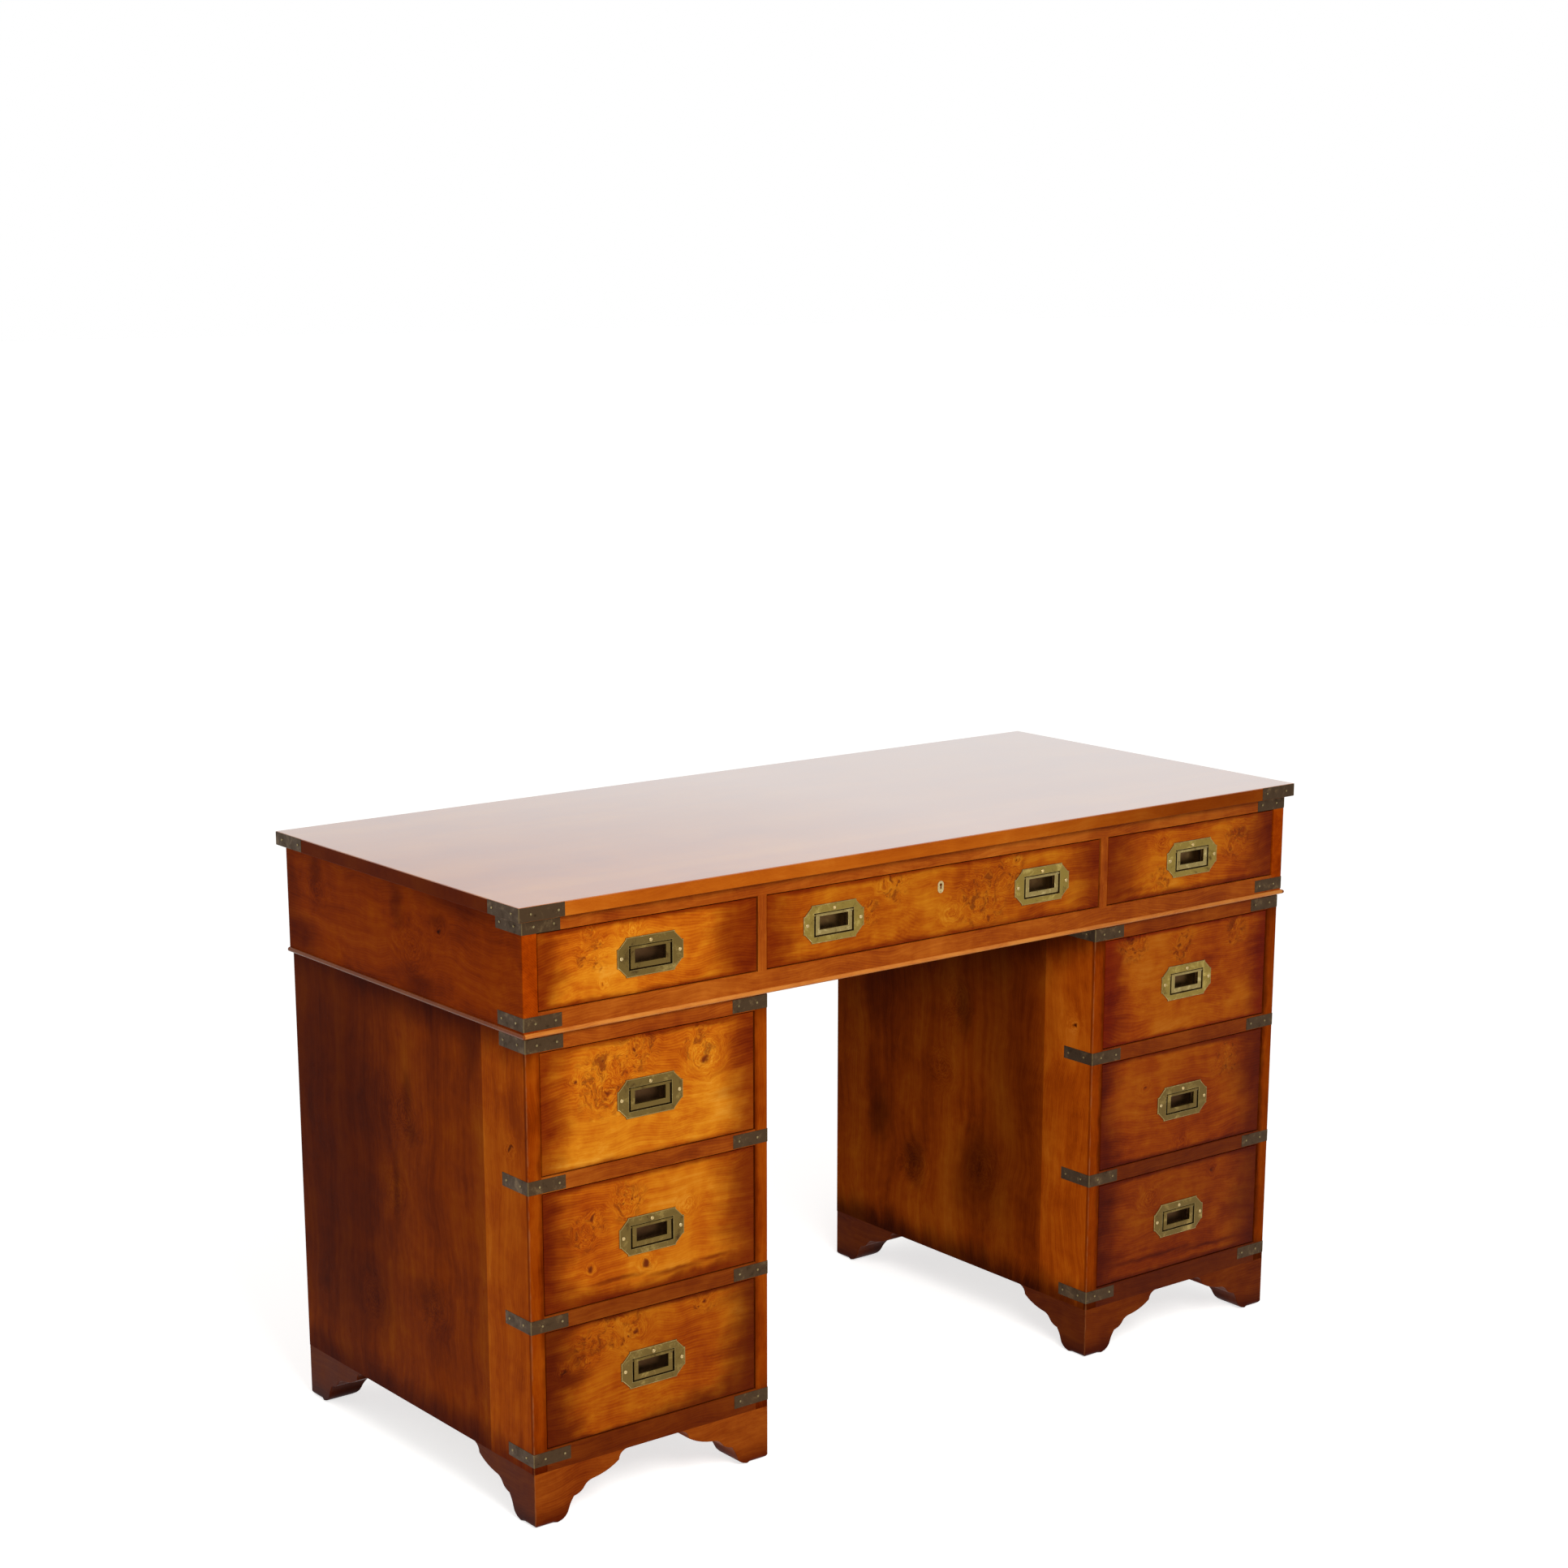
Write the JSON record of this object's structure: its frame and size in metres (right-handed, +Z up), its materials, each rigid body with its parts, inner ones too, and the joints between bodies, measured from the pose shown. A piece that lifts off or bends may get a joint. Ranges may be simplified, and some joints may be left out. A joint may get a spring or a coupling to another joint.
{
  "type": "campaign desk",
  "caption": "Twin-pedestal campaign desk in polished yew with brass corner straps, flush ring-handled drawers, a lockable centre drawer and scrolled bracket feet.",
  "frame": {"origin": "on the floor, under the middle of the top", "axes": "+X along the desk's width to the sitter's right, drawers face -Y, +Z up"},
  "size_m": [1.287, 0.572, 0.7702],
  "materials": {
    "case_wood": "French-polished yew, red-brown",
    "drawer_front_wood": "polished burr yew, golden orange shading to red-brown",
    "drawer_box_wood": "plain pale wood, waxed",
    "inner_wood": "stained secondary wood",
    "aged_brass": "aged brass, dark olive patina",
    "steel": "plain steel"
  },
  "bodies": {
    "desk_frame": {"top_slab": "case_wood", "frieze_sides": "case_wood", "frieze_boards": "inner_wood", "frieze_front_frame": "case_wood", "frieze_dividers": "inner_wood", "frieze_runners": "inner_wood", "frieze_moulding": "case_wood", "slab_corner_straps": "aged_brass", "case_corner_straps": "aged_brass", "strap_nails": "aged_brass", "left_pedestal_sides": "case_wood", "left_pedestal_back": "inner_wood", "left_pedestal_rails": "case_wood", "left_pedestal_boards": "inner_wood", "left_pedestal_feet": "case_wood", "right_pedestal_sides": "case_wood", "right_pedestal_back": "inner_wood", "right_pedestal_rails": "case_wood", "right_pedestal_boards": "inner_wood", "right_pedestal_feet": "case_wood"},
    "frieze_left_drawer": {"frieze_left_drawer_front": "drawer_front_wood", "frieze_left_drawer_box": "drawer_box_wood", "frieze_left_drawer_handle": "aged_brass"},
    "frieze_left_drawer_bail": {"frieze_left_drawer_bail": "aged_brass"},
    "frieze_centre_drawer": {"frieze_centre_drawer_front": "drawer_front_wood", "frieze_centre_drawer_box": "drawer_box_wood", "frieze_centre_drawer_handle": "aged_brass", "keyhole_escutcheon": "aged_brass", "lock_case": "steel"},
    "frieze_centre_drawer_left_bail": {"frieze_centre_drawer_left_bail": "aged_brass"},
    "frieze_centre_drawer_right_bail": {"frieze_centre_drawer_right_bail": "aged_brass"},
    "frieze_right_drawer": {"frieze_right_drawer_front": "drawer_front_wood", "frieze_right_drawer_box": "drawer_box_wood", "frieze_right_drawer_handle": "aged_brass"},
    "frieze_right_drawer_bail": {"frieze_right_drawer_bail": "aged_brass"},
    "left_lower_drawer": {"left_lower_drawer_front": "drawer_front_wood", "left_lower_drawer_box": "drawer_box_wood", "left_lower_drawer_handle": "aged_brass"},
    "left_lower_drawer_bail": {"left_lower_drawer_bail": "aged_brass"},
    "left_middle_drawer": {"left_middle_drawer_front": "drawer_front_wood", "left_middle_drawer_box": "drawer_box_wood", "left_middle_drawer_handle": "aged_brass"},
    "left_middle_drawer_bail": {"left_middle_drawer_bail": "aged_brass"},
    "left_upper_drawer": {"left_upper_drawer_front": "drawer_front_wood", "left_upper_drawer_box": "drawer_box_wood", "left_upper_drawer_handle": "aged_brass"},
    "left_upper_drawer_bail": {"left_upper_drawer_bail": "aged_brass"},
    "right_lower_drawer": {"right_lower_drawer_front": "drawer_front_wood", "right_lower_drawer_box": "drawer_box_wood", "right_lower_drawer_handle": "aged_brass"},
    "right_lower_drawer_bail": {"right_lower_drawer_bail": "aged_brass"},
    "right_middle_drawer": {"right_middle_drawer_front": "drawer_front_wood", "right_middle_drawer_box": "drawer_box_wood", "right_middle_drawer_handle": "aged_brass"},
    "right_middle_drawer_bail": {"right_middle_drawer_bail": "aged_brass"},
    "right_upper_drawer": {"right_upper_drawer_front": "drawer_front_wood", "right_upper_drawer_box": "drawer_box_wood", "right_upper_drawer_handle": "aged_brass"},
    "right_upper_drawer_bail": {"right_upper_drawer_bail": "aged_brass"},
    "lock_bolt": {"lock_bolt": "steel"}
  },
  "joints": [
    {"name": "frieze_left_drawer_slide", "type": "slide", "parent": "desk_frame", "child": "frieze_left_drawer", "axis": [0, -1, 0], "range_m": [0, 0.38]},
    {"name": "frieze_left_drawer_bail_swing", "type": "hinge", "parent": "frieze_left_drawer", "child": "frieze_left_drawer_bail", "pos_m": [-0.4535, -0.2745, 0.698], "axis": [-1, 0, 0], "range_deg": [0, 90]},
    {"name": "frieze_centre_drawer_slide", "type": "slide", "parent": "desk_frame", "child": "frieze_centre_drawer", "axis": [0, -1, 0], "range_m": [0, 0.38]},
    {"name": "frieze_centre_drawer_left_bail_swing", "type": "hinge", "parent": "frieze_centre_drawer", "child": "frieze_centre_drawer_left_bail", "pos_m": [-0.175, -0.2745, 0.698], "axis": [-1, 0, 0], "range_deg": [0, 90]},
    {"name": "frieze_centre_drawer_right_bail_swing", "type": "hinge", "parent": "frieze_centre_drawer", "child": "frieze_centre_drawer_right_bail", "pos_m": [0.175, -0.2745, 0.698], "axis": [-1, 0, 0], "range_deg": [0, 90]},
    {"name": "frieze_right_drawer_slide", "type": "slide", "parent": "desk_frame", "child": "frieze_right_drawer", "axis": [0, -1, 0], "range_m": [0, 0.38]},
    {"name": "frieze_right_drawer_bail_swing", "type": "hinge", "parent": "frieze_right_drawer", "child": "frieze_right_drawer_bail", "pos_m": [0.4535, -0.2745, 0.698], "axis": [-1, 0, 0], "range_deg": [0, 90]},
    {"name": "left_lower_drawer_slide", "type": "slide", "parent": "desk_frame", "child": "left_lower_drawer", "axis": [0, -1, 0], "range_m": [0, 0.38]},
    {"name": "left_lower_drawer_bail_swing", "type": "hinge", "parent": "left_lower_drawer", "child": "left_lower_drawer_bail", "pos_m": [-0.454, -0.2715, 0.1805], "axis": [-1, 0, 0], "range_deg": [0, 90]},
    {"name": "left_middle_drawer_slide", "type": "slide", "parent": "desk_frame", "child": "left_middle_drawer", "axis": [0, -1, 0], "range_m": [0, 0.38]},
    {"name": "left_middle_drawer_bail_swing", "type": "hinge", "parent": "left_middle_drawer", "child": "left_middle_drawer_bail", "pos_m": [-0.454, -0.2715, 0.3515], "axis": [-1, 0, 0], "range_deg": [0, 90]},
    {"name": "left_upper_drawer_slide", "type": "slide", "parent": "desk_frame", "child": "left_upper_drawer", "axis": [0, -1, 0], "range_m": [0, 0.38]},
    {"name": "left_upper_drawer_bail_swing", "type": "hinge", "parent": "left_upper_drawer", "child": "left_upper_drawer_bail", "pos_m": [-0.454, -0.2715, 0.524], "axis": [-1, 0, 0], "range_deg": [0, 90]},
    {"name": "right_lower_drawer_slide", "type": "slide", "parent": "desk_frame", "child": "right_lower_drawer", "axis": [0, -1, 0], "range_m": [0, 0.38]},
    {"name": "right_lower_drawer_bail_swing", "type": "hinge", "parent": "right_lower_drawer", "child": "right_lower_drawer_bail", "pos_m": [0.454, -0.2715, 0.1805], "axis": [-1, 0, 0], "range_deg": [0, 90]},
    {"name": "right_middle_drawer_slide", "type": "slide", "parent": "desk_frame", "child": "right_middle_drawer", "axis": [0, -1, 0], "range_m": [0, 0.38]},
    {"name": "right_middle_drawer_bail_swing", "type": "hinge", "parent": "right_middle_drawer", "child": "right_middle_drawer_bail", "pos_m": [0.454, -0.2715, 0.3515], "axis": [-1, 0, 0], "range_deg": [0, 90]},
    {"name": "right_upper_drawer_slide", "type": "slide", "parent": "desk_frame", "child": "right_upper_drawer", "axis": [0, -1, 0], "range_m": [0, 0.38]},
    {"name": "right_upper_drawer_bail_swing", "type": "hinge", "parent": "right_upper_drawer", "child": "right_upper_drawer_bail", "pos_m": [0.454, -0.2715, 0.524], "axis": [-1, 0, 0], "range_deg": [0, 90]},
    {"name": "lock_bolt_slide", "type": "slide", "parent": "frieze_centre_drawer", "child": "lock_bolt", "axis": [0, 0, 1], "range_m": [0, 0.008]}
  ]
}
